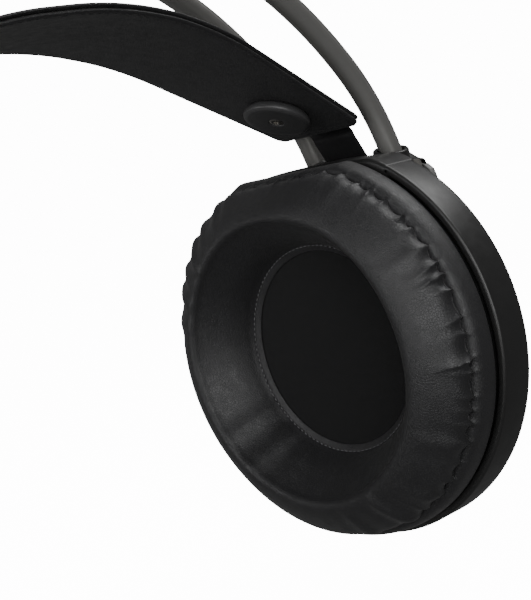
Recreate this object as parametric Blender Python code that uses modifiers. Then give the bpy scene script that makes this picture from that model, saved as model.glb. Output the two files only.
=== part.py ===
"""Over-ear office headset with a two-tube bow, a suspended strap and a boom microphone.

Metres, +X to the wearer's right, +Y forward, +Z up.  The origin is under the crown of the strap.
Each ear cup is laid out in cup coordinates: x outward from the front edge of the housing ring,
y forward and z up from the centre of the ring.
"""
import math

import bmesh
import bpy
from mathutils import Matrix, Vector

MM = 0.001
CUP_X = 81.0            # front edge of the housing ring, from the middle plane

RING_R = 52.0           # housing ring, outside radius
RING_BORE = 49.2
RING_DEPTH = 10.7
SEAM_DEG = 32.5         # half angle of the bridge let into the ring
BRIDGE_END = 27.2
BRIDGE_TOP = [(0, 47.6), (9.5, 47.55), (14, 47.2), (18, 46.6), (22, 45.65), (25.5, 44.7)]
BRIDGE_WAIST = 18.6     # half width of the bridge behind the ring
BRIDGE_FLAT = 14.0      # half width of the middle, which keeps its width all the way back
UNDERSIDE = 44.0

TUBE_R = 3.0
TUBE_Y = 13.4           # half of the distance between the two bow tubes
COLLAR_X = 19.8
COLLAR_Z = 47.9
LEAN_DEG = 14.3         # lean of the tube at the collar
BEND_DEG = 36.0         # where the tight bend meets the wide one
BEND_R = 66.8
TUBE_END = 39.4
PIVOT = (21.33, 42.0)   # tilt axis of the cup, in cup x and z
PIN_R = 1.45

STRAP_END = (9.2, 55.2)
STRAP_RISE_DEG = 30.0
STRAP_STRAIGHT = 42.0
STRAP_FLAT = 3.0
LAYER = 1.0
GAP = 0.3
FLAT_FROM = 50.0        # radius that the flat on top is reckoned from
STRIP_T = 0.7
STRIP_W = 7.2
STRIP_FOOT = (17.2, 47.5)
STRIP_LEAN_DEG = 28.0
DISC_S = 15.65          # disc centre, from the end of the strap
DISC_R = 8.7

# Height of the strap's crown above the centre of the cup.
CROWN_RUN = CUP_X + STRAP_END[0] - STRAP_STRAIGHT * math.cos(math.radians(STRAP_RISE_DEG)) - STRAP_FLAT
CUP_Z = STRAP_END[1] + STRAP_STRAIGHT * math.sin(math.radians(STRAP_RISE_DEG)) + \
    CROWN_RUN * math.tan(math.radians(STRAP_RISE_DEG / 2))

SIDES = {"right": 1, "left": -1}

for old in list(bpy.data.objects):
    bpy.data.objects.remove(old, do_unlink=True)

model = bpy.data.collections.new("office_headset")
cutters = bpy.data.collections.new("cutters")
bpy.context.scene.collection.children.link(model)
bpy.context.scene.collection.children.link(cutters)

COLOURS = {
    "black_plastic": ((0.030, 0.030, 0.030), 0.45, 0.0),
    "grey_plastic": ((0.42, 0.42, 0.41), 0.5, 0.0),
    "gunmetal": ((0.17, 0.168, 0.16), 0.35, 0.7),
    "leatherette": ((0.028, 0.028, 0.030), 0.5, 0.0),
    "cloth": ((0.012, 0.012, 0.012), 0.95, 0.0),
    "steel": ((0.55, 0.54, 0.52), 0.3, 1.0),
    "disc_plastic": ((0.055, 0.055, 0.055), 0.4, 0.0),
    "film": ((0.25, 0.24, 0.22), 0.4, 0.0),
    "foam": ((0.02, 0.02, 0.02), 1.0, 0.0),
}


def material(kind, name):
    colour, rough, metal = COLOURS[kind]
    mat = bpy.data.materials.new(name)
    mat.use_nodes = True
    shader = mat.node_tree.nodes["Principled BSDF"]
    shader.inputs["Base Color"].default_value = (*colour, 1.0)
    shader.inputs["Roughness"].default_value = rough
    shader.inputs["Metallic"].default_value = metal
    mat.diffuse_color = (*colour, 1.0)
    return mat


def solid(bm, name="shape"):
    """Turn a bmesh in millimetres into a mesh with outward faces."""
    bmesh.ops.remove_doubles(bm, verts=bm.verts, dist=0.0005)
    bmesh.ops.recalc_face_normals(bm, faces=bm.faces)
    mesh = bpy.data.meshes.new(name)
    bm.to_mesh(mesh)
    bm.free()
    return mesh


def loft(sections, facets=False):
    """Skin equal-length closed sections and cap the ends, splitting warped walls into flat facets."""
    bm = bmesh.new()
    rows = [[bm.verts.new(p) for p in section] for section in sections]
    for a, b in zip(rows, rows[1:]):
        for i in range(len(a)):
            j = (i + 1) % len(a)
            bm.faces.new((a[i], a[j], b[j], b[i]))
    walls = list(bm.faces)
    bm.faces.new(rows[0])
    bm.faces.new(rows[-1])
    if facets:
        bmesh.ops.triangulate(bm, faces=walls)
    return solid(bm)


def evaluated(data, modifiers=()):
    """The finished mesh of a curve, or of a mesh with modifiers, with its doubles welded."""
    guide = bpy.data.objects.new("guide", data)
    guide.hide_render = True
    cutters.objects.link(guide)
    for kind, settings in modifiers:
        mod = guide.modifiers.new(kind, kind)
        for key, value in settings.items():
            setattr(mod, key, value)
    graph = bpy.context.evaluated_depsgraph_get()
    mesh = bpy.data.meshes.new_from_object(guide.evaluated_get(graph))
    bpy.data.objects.remove(guide, do_unlink=True)
    return mesh


def turned(profile, count=32, angle=360.0):
    """Turn an (x, r) outline about the X axis; an open turn leaves its gap at the top."""
    count = int(count)
    axial = [k for k, point in enumerate(profile) if point[1] < 1e-6]
    closed = not axial
    if axial and axial != [0, len(profile) - 1]:
        profile = profile[axial[-1]:] + profile[:axial[-1]]
    outline = bpy.data.meshes.new("outline")
    links = [(k, k + 1) for k in range(len(profile) - 1)]
    if closed:
        links.append((len(profile) - 1, 0))
    outline.from_pydata([(x, 0.0, r) for x, r in profile], links, [])
    screw = {"axis": "X", "angle": math.radians(angle), "steps": count, "render_steps": count,
             "use_merge_vertices": angle > 359.9, "merge_threshold": 0.0001}
    mesh = evaluated(outline, [("SCREW", screw)])
    bm = bmesh.new()
    bm.from_mesh(mesh)
    bmesh.ops.remove_doubles(bm, verts=bm.verts, dist=0.0001)
    bmesh.ops.dissolve_degenerate(bm, dist=0.0001, edges=bm.edges)
    if angle < 359.9:
        bmesh.ops.holes_fill(bm, edges=[e for e in bm.edges if e.is_boundary], sides=0)
        turn = math.radians(180.0 - angle / 2)
        if max(v.co.y for v in bm.verts if abs(v.co.z) < 12) < -min(v.co.y for v in bm.verts):
            turn = -turn
        bmesh.ops.rotate(bm, verts=bm.verts, matrix=Matrix.Rotation(-turn, 3, "X"))
    return solid(bm)


def tube(points, radius, resolution=2):
    """A round tube along points, from a bevelled curve with filled caps."""
    curve = bpy.data.curves.new("path", "CURVE")
    curve.dimensions = "3D"
    curve.bevel_depth = radius
    curve.bevel_resolution = resolution
    curve.use_fill_caps = True
    spline = curve.splines.new("POLY")
    spline.points.add(len(points) - 1)
    for point, at in zip(spline.points, points):
        point.co = (*at, 1.0)
    bm = bmesh.new()
    bm.from_mesh(evaluated(curve))
    bmesh.ops.remove_doubles(bm, verts=bm.verts, dist=0.0005)
    return solid(bm)


def box(x0, x1, y0, y1, z0, z1, bevel=0.0):
    bm = bmesh.new()
    bmesh.ops.create_cube(bm, size=1.0)
    for v in bm.verts:
        v.co = Vector((x0 + (v.co.x + 0.5) * (x1 - x0),
                       y0 + (v.co.y + 0.5) * (y1 - y0),
                       z0 + (v.co.z + 0.5) * (z1 - z0)))
    if bevel:
        bmesh.ops.bevel(bm, geom=list(bm.edges), offset=bevel, segments=2, profile=0.5, affect="EDGES")
    return solid(bm)


def rod(start, end, radius, count=16, tip=None):
    """A straight cylinder, or a cone frustum, between two points."""
    start, end = Vector(start), Vector(end)
    bm = bmesh.new()
    bmesh.ops.create_cone(bm, cap_ends=True, segments=count, radius1=radius,
                          radius2=radius if tip is None else tip, depth=(end - start).length)
    turn = Matrix.Translation((start + end) / 2) @ (end - start).to_track_quat("Z", "Y").to_matrix().to_4x4()
    bmesh.ops.transform(bm, matrix=turn, verts=bm.verts)
    return solid(bm)


def moved(mesh, matrix):
    mesh.transform(matrix)
    return mesh


def combine(mesh, others, operation):
    """Boolean of a mesh with others, worked out at once."""
    base = bpy.data.objects.new("base", mesh)
    cutters.objects.link(base)
    helpers = []
    for other in others:
        helper = bpy.data.objects.new("cutter", other)
        helper.hide_render = True
        helper.display_type = "WIRE"
        cutters.objects.link(helper)
        helpers.append(helper)
        mod = base.modifiers.new("boolean", "BOOLEAN")
        mod.operation = operation
        mod.solver = "EXACT"
        mod.object = helper
    graph = bpy.context.evaluated_depsgraph_get()
    out = bpy.data.meshes.new_from_object(base.evaluated_get(graph))
    for item in [base] + helpers:
        bpy.data.objects.remove(item, do_unlink=True)
    return out


def flatten(mesh, limit, inner=0.0):
    """Press the top of a round piece down to a flat at z = limit."""
    for v in mesh.vertices:
        r = math.hypot(v.co.y, v.co.z)
        if r <= inner or v.co.z <= 0:
            continue
        up = v.co.z / r
        outer = FLAT_FROM
        scale = min(1.0, (limit / up) / outer)
        target = inner + (r - inner) * (outer * scale - inner) / (outer - inner)
        v.co.y *= target / r
        v.co.z *= target / r
    return mesh


def place(name, mesh, side, kind, pivot=None, parent=None):
    """Put a cup-coordinate mesh into the model; the left side is the mirror image."""
    sign = SIDES[side]
    origin = world((pivot[0], 0, pivot[1]), sign) if pivot else Vector((0, 0, 0))
    bm = bmesh.new()
    bm.from_mesh(mesh)
    for v in bm.verts:
        v.co = world(v.co, sign) - origin
    if sign < 0:
        bmesh.ops.reverse_faces(bm, faces=bm.faces)
    return add(name, bm, kind, origin, parent)


def add(name, bm, kind, origin, parent=None):
    mesh = bpy.data.meshes.new(name)
    bm.to_mesh(mesh)
    bm.free()
    mesh.materials.clear()
    mesh.materials.append(material(kind, name))
    for face in mesh.polygons:
        face.material_index = 0
    obj = bpy.data.objects.new(name, mesh)
    model.objects.link(obj)
    obj.parent = parent
    obj.location = Vector((0, 0, 0)) if parent else origin
    return obj


def world(point, sign=1):
    x, y, z = point
    return Vector((sign * (CUP_X + x) * MM, y * MM, (z - CUP_Z) * MM))


# ---------------------------------------------------------------- ear cups

def ring_mesh():
    profile = [(0.0, RING_BORE), (0.0, 51.0), (1.0, 52.0), (9.7, 52.0), (10.7, 51.2), (10.7, RING_BORE)]
    return turned(profile, 36, 360.0 - 2 * (SEAM_DEG + 0.2))


def bridge_mesh():
    """The segment let into the ring, its two collars, the strip well and the tilt lugs."""
    seam = math.radians(SEAM_DEG)
    side = [(RING_R * math.sin(seam), RING_R * math.cos(seam))]
    top = BRIDGE_TOP + side
    top = [(-y, z) for y, z in reversed(top[1:])] + top
    under = []
    for k in range(3):
        a = seam - k * (seam - math.acos(UNDERSIDE / RING_BORE)) / 2
        under.append((RING_BORE * math.sin(a), RING_BORE * math.cos(a)))
    under = under + [(-y, z) for y, z in reversed(under)]
    sections = []
    edge = RING_R * math.sin(seam)
    for x, drop, half in ((0.0, 1.0, edge), (1.0, 0.0, edge), (RING_DEPTH, 0.0, edge),
                          (RING_DEPTH + 2.0, 0.0, BRIDGE_WAIST), (23.0, 0.3, BRIDGE_WAIST),
                          (26.2, 0.8, BRIDGE_WAIST), (BRIDGE_END, 1.8, BRIDGE_WAIST)):
        row = []
        for y, z in top + under:
            r = math.hypot(y, z)
            fall = drop if (y, z) in top else 0.0
            past = max(0.0, abs(y) - BRIDGE_FLAT)
            across = math.copysign(abs(y) - past + past * (half - BRIDGE_FLAT) / (edge - BRIDGE_FLAT), y)
            row.append((x, across * (r - fall) / r, z * (r - fall) / r))
        sections.append(row)
    body = loft(sections, facets=True)
    lean = math.radians(LEAN_DEG)
    extra = []
    holes = []
    for sign in (-1, 1):
        centre = Vector((COLLAR_X, sign * TUBE_Y, COLLAR_Z))
        axis = Vector((-0.10, sign * 0.232, 0.968)).normalized()
        turn = axis.to_track_quat("Z", "Y").to_matrix()
        rows = []
        for h, r in ((-3.3, 6.8), (-1.6, 5.5), (-0.1, 4.85), (0.6, 4.6)):
            rows.append([centre + turn @ Vector((r * math.cos(2 * math.pi * k / 16),
                                                 r * math.sin(2 * math.pi * k / 16), h)) for k in range(16)])
        extra.append(loft(rows))
        extra.append(box(18.4, 24.6, min(sign * 17.4, sign * 20.2), max(sign * 17.4, sign * 20.2), 38.9, 44.6))
        along = Vector((-math.sin(lean), 0, math.cos(lean)))
        holes.append(rod(centre - along * 8.0, centre + along * 5.0, 3.85, 16))
    body = combine(body, extra, "UNION")
    holes.append(box(15.5, 24.3, -8.0, 8.0, 40.0, 52.0))
    holes.append(rod((PIVOT[0], -25, PIVOT[1]), (PIVOT[0], 25, PIVOT[1]), PIN_R + 0.1, 12))
    return combine(body, holes, "DIFFERENCE")


def shell_mesh(side):
    profile = [(26.0, 0.0), (28.0, 0.0), (28.0, 32.4), (26.0, 35.2), (20.0, 41.2), (12.6, 46.0), (10.9, 48.7),
               (3.9, 48.7), (3.9, 46.8), (9.9, 46.6), (11.6, 44.0), (19.0, 39.4), (25.0, 33.4), (26.0, 31.0)]
    body = flatten(turned(profile, 30), UNDERSIDE - 0.4, 30.0)
    cuts = [box(14.6, 25.7, -21.4, 21.4, 36.5, 52.0)]
    if side == "left":
        cuts.append(rod((19.0, 0, -38.0), (19.0, 0, -52.0), 3.5, 20))
    return combine(body, cuts, "DIFFERENCE")


def accent_mesh():
    """Rounded plate over the top of the back, with two screw seats."""
    outline = []
    for cy, cz, start in ((14.5, 37.8, 0), (-14.5, 37.8, 90), (-14.5, 27.2, 180), (14.5, 27.2, 270)):
        for k in range(4):
            a = math.radians(start + 30 * k)
            outline.append((cy + 4.2 * math.cos(a), cz + 4.2 * math.sin(a)))
    rows = []
    for x, scale in ((28.3, 1.0), (30.4, 1.0), (31.0, 0.96)):
        rows.append([(x, y * scale, 32.5 + (z - 32.5) * scale) for y, z in outline])
    seats = [rod((27, sign * 10.0, 28.5), (33, sign * 10.0, 28.5), 2.4, 12) for sign in (-1, 1)]
    return combine(loft(rows), seats, "DIFFERENCE")


def screw_mesh(head_r, head_h, shank_r=0.0, shank_l=0.0):
    """A cross-recess screw: head standing on z = 0, shank below it."""
    outline = [(0.0, head_r), (head_h, head_r * 0.8)]
    if shank_r:
        outline = [(-shank_l, shank_r), (0.0, shank_r)] + outline
    rows = []
    for z, r in outline:
        rows.append([(r * math.cos(2 * math.pi * k / 8), r * math.sin(2 * math.pi * k / 8), z)
                     for k in range(8)])
    w = head_r * 0.14
    reach = head_r * 0.5
    cross = combine(box(-reach, reach, -w, w, head_h * 0.5, head_h + 1),
                    [box(-w, w, -reach, reach, head_h * 0.5, head_h + 1)], "UNION")
    return combine(loft(rows), [cross], "DIFFERENCE")


CUSHION = [(-0.9, 32.4), (-0.9, 49.6), (-1.6, 50.3), (-6.8, 50.3), (-8.4, 48.6), (-11.0, 48.7), (-14.6, 45.9),
           (-17.6, 41.6), (-18.3, 38.6), (-16.4, 34.4), (-11.6, 31.0), (-5.6, 28.6), (-4.6, 27.6), (-4.2, 29.8)]


def cup(side):
    sign = SIDES[side]
    pivot = bpy.data.objects.new(side + "_cup_pivot", None)
    pivot.location = world((PIVOT[0], 0, PIVOT[1]), sign)
    model.objects.link(pivot)

    def put(name, mesh, kind):
        place(side + "_" + name, mesh, side, kind, PIVOT, pivot)

    put("housing_ring", ring_mesh(), "black_plastic")
    put("bridge", bridge_mesh(), "black_plastic")
    put("back_shell", shell_mesh(side), "black_plastic")
    put("accent_plate", accent_mesh(), "grey_plastic")
    for label, y in (("rear", -10.0), ("front", 10.0)):
        turn = Matrix.Translation((28.35, y, 28.5)) @ Matrix.Rotation(math.radians(90), 4, "Y")
        put("accent_screw_" + label, moved(screw_mesh(2.0, 1.7), turn), "steel")
    bore = 3.1 if side == "left" else 0.0
    cap = [(28.3, bore), (28.3, 21.8), (30.4, 21.8), (31.7, 18.0), (31.7, bore)]
    put("outer_cap", turned(cap, 28), "black_plastic")
    baffle = flatten(turned([(1.0, 21.0), (1.0, 48.8), (3.5, 48.8), (3.5, 21.0)], 28), UNDERSIDE - 0.4, 30.0)
    spots = [math.radians(60 + 120 * k) for k in range(3)]
    holes = [rod((0, 40 * math.sin(a), 40 * math.cos(a)), (5, 40 * math.sin(a), 40 * math.cos(a)), 1.4, 8)
             for a in spots]
    put("baffle", combine(baffle, holes, "DIFFERENCE"), "black_plastic")
    for k, a in enumerate(spots):
        turn = Matrix.Translation((3.8, 40 * math.sin(a), 40 * math.cos(a))) @ Matrix.Rotation(math.pi / 2, 4, "Y")
        put("baffle_screw_%d" % (k + 1), moved(screw_mesh(2.4, 1.5, 1.0, 2.6), turn), "steel")
    plate = turned([(-0.55, 33.0), (-0.55, 47.0), (0.65, 47.0), (0.65, 33.0)], 28)
    put("cushion_plate", flatten(plate, UNDERSIDE - 0.6, 30.0), "black_plastic")
    put("cushion", flatten(turned(CUSHION, 32), 46.9, 36.0), "leatherette")
    scrim = [(-3.3, 0.0), (-3.3, 28.0), (-0.4, 30.6), (0.65, 30.6), (0.65, 30.1), (-0.2, 30.1), (-2.9, 27.7),
             (-2.9, 0.0)]
    put("scrim", turned(scrim, 24), "cloth")
    film = [(0.9, 0.0), (1.2, 8.0), (2.7, 9.0), (1.9, 14.0), (3.0, 19.9), (2.6, 19.9), (1.5, 14.0), (2.3, 9.0),
            (0.8, 8.2), (0.5, 0.0)]
    put("diaphragm", turned(film, 20), "film")
    frame = [(3.9, 13.0), (3.9, 24.0), (6.2, 24.0), (8.4, 19.0), (9.2, 13.0)]
    put("driver_frame", turned(frame, 20), "black_plastic")
    put("magnet", turned([(4.4, 0.0), (4.4, 12.5), (13.4, 12.5), (14.0, 11.8), (14.0, 0.0)], 20), "steel")
    return pivot


# ---------------------------------------------------------------- bow

def bow_path():
    lean, bend = math.radians(LEAN_DEG), math.radians(BEND_DEG)
    x0 = CUP_X + COLLAR_X
    points = []
    points.append((x0 + math.tan(lean) * (COLLAR_Z - TUBE_END), TUBE_END))
    for k in range(5):
        a = lean + (bend - lean) * k / 4
        points.append((x0 - BEND_R * (math.cos(lean) - math.cos(a)),
                       COLLAR_Z + BEND_R * (math.sin(a) - math.sin(lean))))
    x1, z1 = points[-1]
    wide = x1 / math.cos(bend)
    for k in range(1, 9):
        a = bend + (math.pi / 2 - bend) * k / 8
        points.append((x1 - wide * (math.cos(bend) - math.cos(a)), z1 + wide * (math.sin(a) - math.sin(bend))))
    return points + [(-x, z) for x, z in reversed(points[:-1])]


def swept(path, section):
    """Sweep (y, n) section points along a path in the XZ plane; n is across the path."""
    rows = []
    for k, (x, z) in enumerate(path):
        a = path[max(k - 1, 0)]
        b = path[min(k + 1, len(path) - 1)]
        t = Vector((b[0] - a[0], b[1] - a[1])).normalized()
        n = Vector((-t.y, t.x))
        rows.append([(x + n.x * h, y, z + n.y * h) for y, h in section])
    return loft(rows)


def centred(mesh):
    """Shift a mesh from cup height to model height, in metres."""
    mesh.transform(Matrix.Scale(MM, 4) @ Matrix.Translation((0, 0, -CUP_Z)))
    return mesh


def put_middle(name, mesh, kind):
    bm = bmesh.new()
    bm.from_mesh(centred(mesh))
    add(name, bm, kind, Vector((0, 0, 0)))


def bow():
    path = bow_path()
    for name, y0 in (("front_tube", TUBE_Y), ("rear_tube", -TUBE_Y)):
        mesh = tube([(x, y0, z) for x, z in path], TUBE_R)
        bores = [rod((s * (CUP_X + PIVOT[0]), y0 - 5, PIVOT[1]), (s * (CUP_X + PIVOT[0]), y0 + 5, PIVOT[1]), 1.75, 10)
                 for s in (-1, 1)]
        put_middle(name, combine(mesh, bores, "DIFFERENCE"), "gunmetal")
    for side in SIDES:
        for label, s in (("rear", -1), ("front", 1)):
            pin = rod((PIVOT[0], s * 10.6, PIVOT[1]), (PIVOT[0], s * 20.6, PIVOT[1]), PIN_R, 12)
            place(side + "_tilt_pin_" + label, pin, side, "steel")


# ---------------------------------------------------------------- suspended strap

def strap_path():
    """Underside of the strap from the right end over the crown to the left end."""
    rise = math.radians(STRAP_RISE_DEG)
    x, z = CUP_X + STRAP_END[0], STRAP_END[1]
    points = []
    for s in (0, 0.3, 1.0, 2.6, 20.0, STRAP_STRAIGHT):
        points.append((x - s * math.cos(rise), z + s * math.sin(rise)))
    x1, z1 = points[-1]
    radius = (x1 - STRAP_FLAT) / math.sin(rise)
    for k in range(1, 9):
        a = rise * (1 - k / 8)
        points.append((x1 - radius * (math.sin(rise) - math.sin(a)), z1 + radius * (math.cos(a) - math.cos(rise))))
    return points + [(-px, pz) for px, pz in reversed(points)]


def strap_half_width(s):
    corner = 2.6
    half = min(14.7 + 0.11 * s, 22.0)
    if s < corner:
        half -= corner - math.sqrt(corner ** 2 - (corner - s) ** 2)
    return max(half, 8.0)


def strap_layer(low):
    path = strap_path()
    length = [0.0]
    for a, b in zip(path, path[1:]):
        length.append(length[-1] + math.hypot(b[0] - a[0], b[1] - a[1]))
    total = length[-1]
    rows = []
    for k, (x, z) in enumerate(path):
        a = path[max(k - 1, 0)]
        b = path[min(k + 1, len(path) - 1)]
        t = Vector((b[0] - a[0], b[1] - a[1])).normalized()
        if 0 < k < len(path) - 1:
            t1 = Vector((x - a[0], z - a[1])).normalized()
            t2 = Vector((b[0] - x, b[1] - z)).normalized()
            stretch = 1.0 / max(0.5, math.sqrt((1 + t1.dot(t2)) / 2))
            t = (t1 + t2).normalized()
        else:
            stretch = 1.0
        n = Vector((t.y, -t.x)) * stretch
        w = strap_half_width(min(length[k], total - length[k]))
        pts = [(-w, low), (w, low), (w, low + LAYER), (-w, low + LAYER)]
        rows.append([(x + n.x * h, y, z + n.y * h) for y, h in pts])
    return loft(rows)


def on_strap(s, h):
    """Cup-coordinate point a distance s in from the strap end and h above its underside."""
    rise = math.radians(STRAP_RISE_DEG)
    return (STRAP_END[0] - s * math.cos(rise) + h * math.sin(rise),
            STRAP_END[1] + s * math.sin(rise) + h * math.cos(rise))


def strap():
    rise = math.radians(STRAP_RISE_DEG)
    seat = {}
    for side, sign in SIDES.items():
        a, b = on_strap(DISC_S, -6), on_strap(DISC_S, 8)
        seat[side] = (Vector((sign * (CUP_X + a[0]), 0, a[1])), Vector((sign * (CUP_X + b[0]), 0, b[1])))
    for name, low in (("strap_lower_layer", 0.0), ("strap_upper_layer", LAYER + GAP)):
        holes = [rod(*seat[side], 1.4, 10) for side in SIDES]
        mesh = combine(strap_layer(low), holes, "DIFFERENCE")
        put_middle(name, mesh, "leatherette")
    for side in SIDES:
        base = on_strap(DISC_S, 0.0)
        frame = Matrix.Translation((base[0], 0, base[1])) @ Matrix.Rotation(rise, 4, "Y")
        tilt = frame @ Matrix.Rotation(math.radians(90), 4, "Y")
        disc = [(0.3, 1.4), (0.3, 8.0), (1.4, DISC_R), (2.5, DISC_R), (3.1, DISC_R - 0.8), (3.1, 2.0),
                (1.9, 1.9), (1.9, 1.4)]
        place(side + "_strap_disc", moved(turned(disc, 24), tilt), side, "disc_plastic")
        head = moved(screw_mesh(1.7, 0.95, 1.05, 6.6), frame @ Matrix.Translation((0, 0, -2.2)) @
                     Matrix.Rotation(math.pi, 4, "X"))
        place(side + "_disc_screw", head, side, "steel")
        top = 2 * LAYER + GAP
        strip_low = top + GAP
        pts = [on_strap(24.0, strip_low + STRIP_T / 2), on_strap(12.0, strip_low + STRIP_T / 2),
               on_strap(3.0, strip_low + STRIP_T / 2)]
        lean = math.radians(STRIP_LEAN_DEG)
        for up in (9.6, 6.5, 2.5, -4.0, -12.2):
            pts.append((STRIP_FOOT[0] - up * math.sin(lean), STRIP_FOOT[1] + up * math.cos(lean)))
        smooth = pts[:3]
        for k in range(1, 4):
            t = k / 4
            p, c, q = Vector(pts[2]), Vector(on_strap(-1.2, strip_low + STRIP_T / 2)), Vector(pts[3])
            smooth.append(tuple(p * (1 - t) ** 2 + c * 2 * t * (1 - t) + q * t ** 2))
        smooth += pts[3:]
        half = STRIP_T / 2
        strip = swept(smooth, [(-STRIP_W, -half), (STRIP_W, -half), (STRIP_W, half), (-STRIP_W, half)])
        bore = rod(seat_local(-6), seat_local(8), 1.4, 10)
        place(side + "_strip", combine(strip, [bore], "DIFFERENCE"), side, "black_plastic")
        plate = [(top + 2 * GAP + STRIP_T, 1.4), (top + 2 * GAP + STRIP_T, 5.6),
                 (top + 2 * GAP + STRIP_T + 0.8, 5.6), (top + 2 * GAP + STRIP_T + 0.8, 1.4)]
        up = frame @ Matrix.Rotation(math.radians(-90), 4, "Y")
        place(side + "_clamp_washer", moved(turned(plate, 16), up), side, "steel")


def seat_local(h):
    x, z = on_strap(DISC_S, h)
    return (x, 0, z)


# ---------------------------------------------------------------- left side extras

def boom():
    sign = SIDES["left"]
    hinge = bpy.data.objects.new("mic_pivot", None)
    hinge.location = world((0, 0, 0), sign)
    model.objects.link(hinge)

    def put(name, mesh, kind):
        place(name, mesh, "left", kind, (0, 0), hinge)

    hub = [(28.8, 0.0), (28.8, 3.0), (32.1, 3.0), (32.1, 8.6), (32.7, 9.2), (36.3, 9.2), (37.2, 8.0), (37.2, 0.0)]
    hub_mesh = turned(hub, 20)
    points = [Vector(p) for p in ((34.6, 6.6, -4.0), (34.6, 22.0, -12.6), (33.4, 38.0, -21.6), (29.6, 54.0, -30.8),
                                  (22.6, 69.0, -39.6), (13.0, 82.0, -47.4))]
    path = []
    for k in range(len(points) - 1):
        p0, p1, p2, p3 = (points[max(k - 1, 0)], points[k], points[k + 1], points[min(k + 2, len(points) - 1)])
        for j in range(3):
            t = j / 3
            path.append(0.5 * ((2 * p1) + (p2 - p0) * t + (2 * p0 - 5 * p1 + 4 * p2 - p3) * t * t +
                               (3 * p1 - p0 - 3 * p2 + p3) * t ** 3))
    path.append(points[-1])
    end = path[-1]
    t = (path[-1] - path[-2]).normalized()
    turn = Matrix.Translation(end) @ t.to_track_quat("X", "Z").to_matrix().to_4x4()
    socket = rod(path[0] - (path[1] - path[0]).normalized() * 2.0, path[3], 2.3, 12)
    put("mic_hub", combine(hub_mesh, [socket], "DIFFERENCE"), "black_plastic")
    put("mic_boom", tube(path, 2.0, 1), "black_plastic")
    capsule = [(0.3, 0.0), (0.3, 3.2), (1.6, 4.2), (14.0, 4.2), (15.2, 3.2), (15.2, 0.0)]
    put("mic_capsule", moved(turned(capsule, 12), turn), "black_plastic")
    foam = [(17.0, 0.0), (17.0, 3.4), (15.6, 4.6), (3.0, 4.6), (3.0, 6.4), (5.0, 7.8), (11.0, 8.4), (16.0, 7.6),
            (19.0, 5.0), (20.2, 0.0)]
    put("mic_windscreen", moved(turned(foam, 16), turn), "foam")
    socket = [(42.2, 1.8), (42.2, 3.1), (46.2, 3.1), (46.2, 4.3), (47.6, 4.3), (47.6, 1.8)]
    mesh = moved(turned(socket, 16), Matrix.Translation((19.0, 0, 0)) @ Matrix.Rotation(math.pi / 2, 4, "Y"))
    place("cable_socket", mesh, "left", "black_plastic", PIVOT, bpy.data.objects["left_cup_pivot"])


for side_name in SIDES:
    cup(side_name)
bow()
strap()
boom()
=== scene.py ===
"""Looks of the over-ear office headset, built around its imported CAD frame."""

import math
import random

import bmesh
import bpy
from mathutils import Matrix, Vector

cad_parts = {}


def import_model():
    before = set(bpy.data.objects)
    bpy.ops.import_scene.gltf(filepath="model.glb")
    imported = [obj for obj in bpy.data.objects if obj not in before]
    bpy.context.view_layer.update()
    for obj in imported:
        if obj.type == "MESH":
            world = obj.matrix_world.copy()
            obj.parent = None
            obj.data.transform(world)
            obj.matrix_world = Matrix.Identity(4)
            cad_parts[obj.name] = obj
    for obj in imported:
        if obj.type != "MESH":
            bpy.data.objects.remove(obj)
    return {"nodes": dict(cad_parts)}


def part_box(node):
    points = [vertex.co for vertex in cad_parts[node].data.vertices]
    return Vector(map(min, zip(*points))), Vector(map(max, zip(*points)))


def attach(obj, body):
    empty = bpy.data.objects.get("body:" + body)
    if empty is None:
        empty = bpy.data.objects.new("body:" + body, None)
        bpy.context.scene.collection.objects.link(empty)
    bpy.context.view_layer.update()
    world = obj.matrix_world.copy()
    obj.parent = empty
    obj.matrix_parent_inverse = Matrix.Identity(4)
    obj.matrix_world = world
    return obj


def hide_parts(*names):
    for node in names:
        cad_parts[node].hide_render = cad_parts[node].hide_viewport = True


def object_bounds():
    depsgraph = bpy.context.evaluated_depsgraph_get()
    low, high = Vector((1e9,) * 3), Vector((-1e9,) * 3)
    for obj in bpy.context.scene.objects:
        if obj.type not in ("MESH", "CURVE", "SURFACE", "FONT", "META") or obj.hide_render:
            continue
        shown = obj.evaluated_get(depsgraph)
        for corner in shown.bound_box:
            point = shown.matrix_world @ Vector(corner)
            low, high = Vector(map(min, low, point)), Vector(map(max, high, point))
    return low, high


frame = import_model()
cad_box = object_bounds()

MM = 0.001
RING_R = 52.0
RING_BORE = 49.2
RING_DEPTH = 10.7
SEAM_DEG = 32.5
TUBE_R = 3.0
TUBE_Y = 13.4
COLLAR_X = 19.8
COLLAR_Z = 47.9
LEAN_DEG = 14.3
BEND_DEG = 36.0
BEND_R = 66.8
TUBE_END = 39.4
STRAP_END = (9.2, 55.2)
STRAP_RISE_DEG = 30.0
STRAP_STRAIGHT = 42.0
STRAP_FLAT = 3.0
STRAP_T = 2.3
STRIP_T = 0.7
STRIP_W = 7.2
STRIP_FOOT = (17.2, 47.5)
STRIP_LEAN_DEG = 28.0
RIM = (20.1, 46.7)      # centre of a collar's rim
BRIDGE_END = 27.2
BRIDGE_WAIST = 18.6
BRIDGE_TOP = 47.6       # height of the bridge's flat top over the cup's axis
FRONT_ROUND = 1.1       # edge radius at the bridge's front
BACK_ROUND = 1.5
UNDERSIDE = 44.0
WELL = (15.6, 24.2, 8.0)         # the strip's well: front, back and half width
DISC_S = 15.65
DISC_R = 8.7

low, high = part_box("right_housing_ring")
CUP_X = low[0] / MM
CUP_Z = -(low[2] / MM + RING_R)
SIDES = {"right": 1, "left": -1}
EYE = (-262.09, -256.07, 51.14)             # camera, in the right cup's coordinates
CAMERA_RIGHT = (0.69886, -0.68060, -0.21996)
CAMERA_UP = (0.22503, -0.08270, 0.97084)


# ---------------------------------------------------------------- materials

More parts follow.
